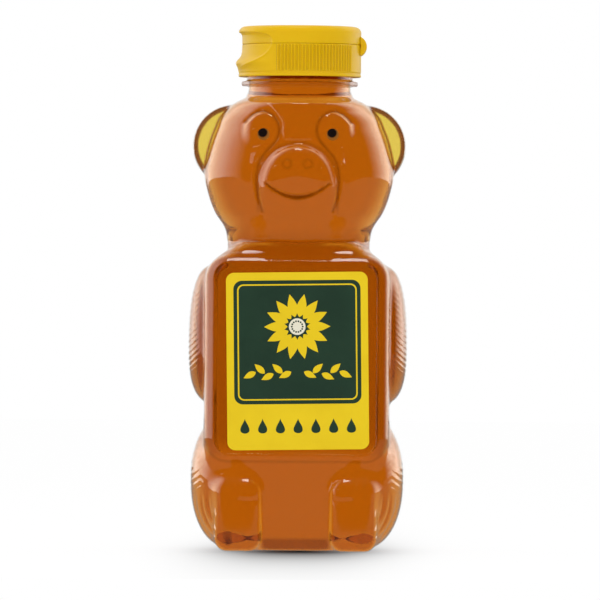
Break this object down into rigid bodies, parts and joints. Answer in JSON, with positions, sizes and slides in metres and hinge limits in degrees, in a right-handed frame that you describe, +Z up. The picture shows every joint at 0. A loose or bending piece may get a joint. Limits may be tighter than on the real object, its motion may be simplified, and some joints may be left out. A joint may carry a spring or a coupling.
{
  "type": "honey bear bottle",
  "caption": "Clear squeeze bottle shaped like a sitting bear, full of honey, with a label on its belly and a yellow screw cap whose lid flips open over a pouring spout.",
  "frame": {"origin": "on the neck's axis, at the level of the surface that the bottle stands on", "axes": "+Z up along the neck; the bear faces -Y; +X towards the hinge of the lid, the viewer's right"},
  "size_m": [0.0772, 0.062, 0.1845],
  "materials": {
    "clear_bottle": "gloss",
    "honey": "gloss",
    "label": "satin",
    "eye_print": "gloss",
    "foil": "satin",
    "liner_foam": "matte",
    "cap_plastic": "satin"
  },
  "bodies": {
    "bottle": {"bottle_shell": "clear_bottle", "honey_fill": "honey", "front_label": "label", "left_eye_print": "eye_print", "right_eye_print": "eye_print", "inner_seal": "foil", "seal_pull_tab": "foil"},
    "liner": {"cap_liner": "liner_foam"},
    "cap": {"cap_base": "cap_plastic", "hinge_strap": "cap_plastic"},
    "lid": {"flip_lid": "cap_plastic"}
  },
  "joints": [
    {"name": "cap_rise", "type": "slide", "parent": "bottle", "child": "liner", "axis": [0, 0, 1], "range_m": [0, 0.0064]},
    {"name": "cap_turn", "type": "hinge", "parent": "liner", "child": "cap", "pos_m": [0, 0, 0.17], "axis": [0, 0, 1], "range_deg": [0, 540]},
    {"name": "lid_flip", "type": "hinge", "parent": "cap", "child": "lid", "pos_m": [0.0221, 0, 0.178], "axis": [0, 1, 0], "range_deg": [0, 150], "deforming": ["hinge_strap"]}
  ],
  "couplings": [
    {"joint": "cap_rise", "follows": "cap_turn", "m_per_rad": 0.00067323}
  ]
}
